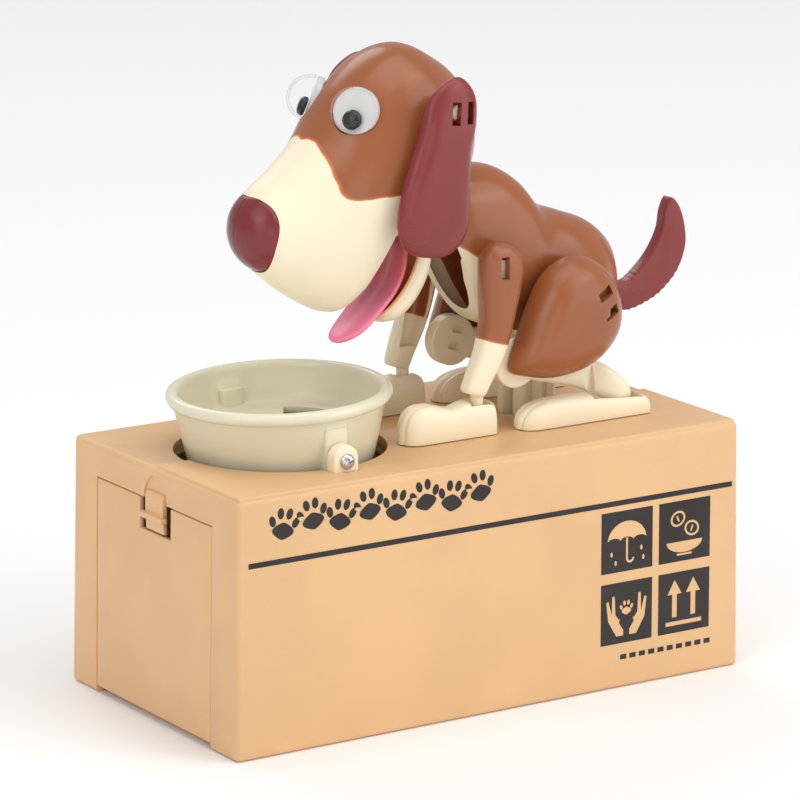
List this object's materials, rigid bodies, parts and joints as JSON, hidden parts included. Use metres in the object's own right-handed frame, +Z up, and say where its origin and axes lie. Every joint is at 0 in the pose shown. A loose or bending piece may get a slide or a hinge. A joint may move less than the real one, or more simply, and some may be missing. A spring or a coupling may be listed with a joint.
{
  "type": "mechanical coin bank",
  "caption": "Battery coin bank: a toy hound on a carton-shaped money box lowers its head into a tipping bowl that drops coins inside.",
  "frame": {"origin": "centre of the money box's flat underside", "axes": "+X runs along the box from the bowl to the tail, -Y is the printed front face, +Z is up"},
  "size_m": [0.1772, 0.0878, 0.1784],
  "materials": {
    "tan_plastic": "satin",
    "cream_plastic": "satin",
    "bowl_plastic": "gloss",
    "brown_plastic": "gloss",
    "dark_red_plastic": "gloss",
    "pink_plastic": "satin",
    "clear_plastic": "clear",
    "white_plastic": "satin",
    "black_plastic": "satin",
    "steel": "bright",
    "brass": "satin",
    "circuit_board": "satin",
    "battery_jacket": "gloss",
    "ink": "printed"
  },
  "bodies": {
    "housing": {"housing_shell": "tan_plastic", "base_plate": "tan_plastic", "battery_cover": "tan_plastic", "battery_cover_screw": "steel", "base_screw_1": "steel", "base_screw_2": "steel", "base_screw_3": "steel", "base_screw_4": "steel", "bowl_cradle": "cream_plastic", "circuit_board": "circuit_board", "battery_1": "battery_jacket", "battery_2": "battery_jacket", "contact_bridge": "steel", "contact_spring_1": "steel", "contact_spring_2": "steel", "motor": "steel", "first_gear_shaft": "steel", "second_gear_shaft": "steel", "crank_shaft": "steel", "drive_arm_axle": "steel", "gearbox_plate_right": "black_plastic", "gearbox_plate_left": "black_plastic", "pedestal": "cream_plastic", "front_paw_right": "cream_plastic", "front_paw_left": "cream_plastic", "hind_paw_right": "cream_plastic", "hind_paw_left": "cream_plastic"},
    "door": {"coin_door": "tan_plastic"},
    "tipping_bowl": {"bowl": "bowl_plastic", "bowl_screw_front": "steel", "bowl_screw_rear": "steel"},
    "trigger": {"trigger_lever": "white_plastic"},
    "crank": {"crank_gear": "white_plastic"},
    "second_wheel": {"second_gear": "white_plastic"},
    "first_wheel": {"first_gear": "white_plastic"},
    "rotor": {"motor_pinion": "brass"},
    "drive": {"drive_arm": "cream_plastic"},
    "foreleg_right": {"front_leg_right": "brown_plastic"},
    "foreleg_left": {"front_leg_left": "brown_plastic"},
    "torso": {"torso_shell_right": "brown_plastic", "torso_shell_left": "brown_plastic", "neck_link": "cream_plastic", "tail": "dark_red_plastic"},
    "shank_right": {"shin_right": "cream_plastic"},
    "shank_left": {"shin_left": "cream_plastic"},
    "haunch_right": {"thigh_right": "brown_plastic"},
    "haunch_left": {"thigh_left": "brown_plastic"},
    "head": {"head_shell_right": "brown_plastic", "head_shell_left": "brown_plastic", "nose": "dark_red_plastic", "eye_socket_right": "white_plastic", "eye_socket_left": "white_plastic", "eye_dome_right": "clear_plastic", "eye_dome_left": "clear_plastic"},
    "lower_jaw": {"jaw": "cream_plastic", "tongue": "pink_plastic"},
    "flap_right": {"ear_right": "dark_red_plastic"},
    "flap_left": {"ear_left": "dark_red_plastic"},
    "loose_pupil_right": {"eye_pupil_right": "black_plastic"},
    "loose_pupil_left": {"eye_pupil_left": "black_plastic"}
  },
  "joints": [
    {"name": "lean", "type": "hinge", "parent": "housing", "child": "foreleg_right", "pos_m": [0.0101, 0, 0.0802], "axis": [0, -1, 0], "range_deg": [0, 22]},
    {"name": "foreleg_left_swing", "type": "hinge", "parent": "housing", "child": "foreleg_left", "pos_m": [0.0101, 0, 0.0802], "axis": [0, -1, 0], "range_deg": [0, 22]},
    {"name": "torso_pitch", "type": "hinge", "parent": "foreleg_right", "child": "torso", "pos_m": [0.0165, 0, 0.1171], "axis": [0, -1, 0], "range_deg": [-4.1, 0]},
    {"name": "drive_arm_swing", "type": "hinge", "parent": "housing", "child": "drive", "pos_m": [0.0395, 0, 0.06], "axis": [0, -1, 0], "range_deg": [0, 12.7]},
    {"name": "shank_right_swing", "type": "hinge", "parent": "housing", "child": "shank_right", "pos_m": [0.0585, 0, 0.0755], "axis": [0, -1, 0], "range_deg": [0, 0.5]},
    {"name": "shank_left_swing", "type": "hinge", "parent": "housing", "child": "shank_left", "pos_m": [0.0585, 0, 0.0755], "axis": [0, -1, 0], "range_deg": [0, 0.5]},
    {"name": "knee_right", "type": "hinge", "parent": "shank_right", "child": "haunch_right", "pos_m": [0.024, 0, 0.0895], "axis": [0, -1, 0], "range_deg": [0, 32.5]},
    {"name": "knee_left", "type": "hinge", "parent": "shank_left", "child": "haunch_left", "pos_m": [0.024, 0, 0.0895], "axis": [0, -1, 0], "range_deg": [0, 32.5]},
    {"name": "neck_nod", "type": "hinge", "parent": "torso", "child": "head", "pos_m": [-0.002, 0, 0.142], "axis": [0, -1, 0], "range_deg": [0, 9]},
    {"name": "jaw_chew", "type": "hinge", "parent": "head", "child": "lower_jaw", "pos_m": [0.0005, 0, 0.128], "axis": [0, 1, 0], "range_deg": [0, 7]},
    {"name": "ear_right_swing", "type": "hinge", "parent": "head", "child": "flap_right", "pos_m": [-0.0015, 0, 0.1627], "axis": [0, 1, 0], "range_deg": [0, 25]},
    {"name": "ear_left_swing", "type": "hinge", "parent": "head", "child": "flap_left", "pos_m": [-0.0015, 0, 0.1627], "axis": [0, 1, 0], "range_deg": [0, 25]},
    {"name": "pupil_right_roll", "type": "hinge", "parent": "head", "child": "loose_pupil_right", "pos_m": [-0.025, -0.011, 0.1632], "axis": [-0.7847, -0.503, 0.3622], "continuous": true},
    {"name": "pupil_left_roll", "type": "hinge", "parent": "head", "child": "loose_pupil_left", "pos_m": [-0.025, 0.011, 0.1632], "axis": [-0.7847, 0.503, 0.3622], "continuous": true},
    {"name": "door_swing", "type": "hinge", "parent": "housing", "child": "door", "pos_m": [-0.0812, 0, 0.0034], "axis": [0, -1, 0], "range_deg": [0, 90]},
    {"name": "bowl_tip", "type": "hinge", "parent": "housing", "child": "tipping_bowl", "pos_m": [-0.0417, 0, 0.074], "axis": [0, 1, 0], "range_deg": [0, 6], "stiffness_Nm_per_rad": 0.02},
    {"name": "trigger_press", "type": "hinge", "parent": "housing", "child": "trigger", "pos_m": [-0.0084, 0.022, 0.062], "axis": [0, -1, 0], "range_deg": [0, 10.5]},
    {"name": "crank_spin", "type": "hinge", "parent": "housing", "child": "crank", "pos_m": [0.0429, 0, 0.034], "axis": [0, 1, 0], "continuous": true},
    {"name": "second_wheel_spin", "type": "hinge", "parent": "housing", "child": "second_wheel", "pos_m": [0.0269, 0, 0.034], "axis": [0, 1, 0], "continuous": true},
    {"name": "first_wheel_spin", "type": "hinge", "parent": "housing", "child": "first_wheel", "pos_m": [0.0149, 0, 0.0268], "axis": [0, 1, 0], "continuous": true},
    {"name": "rotor_spin", "type": "hinge", "parent": "housing", "child": "rotor", "pos_m": [0.0086, 0, 0.0393], "axis": [0, 1, 0], "continuous": true}
  ],
  "couplings": [
    {"joint": "foreleg_left_swing", "follows": "lean", "ratio": 1},
    {"joint": "torso_pitch", "follows": "lean", "ratio": -0.1818},
    {"joint": "drive_arm_swing", "follows": "lean", "ratio": 0.5764},
    {"joint": "shank_right_swing", "follows": "lean", "ratio": 0.0195},
    {"joint": "shank_left_swing", "follows": "lean", "ratio": 0.0195},
    {"joint": "knee_right", "follows": "lean", "ratio": 1.474},
    {"joint": "knee_left", "follows": "lean", "ratio": 1.474},
    {"joint": "neck_nod", "follows": "lean", "ratio": 0.409},
    {"joint": "trigger_press", "follows": "bowl_tip", "ratio": 1.74},
    {"joint": "second_wheel_spin", "follows": "crank_spin", "ratio": -3},
    {"joint": "first_wheel_spin", "follows": "crank_spin", "ratio": 7.5},
    {"joint": "rotor_spin", "follows": "crank_spin", "ratio": -18.75}
  ]
}
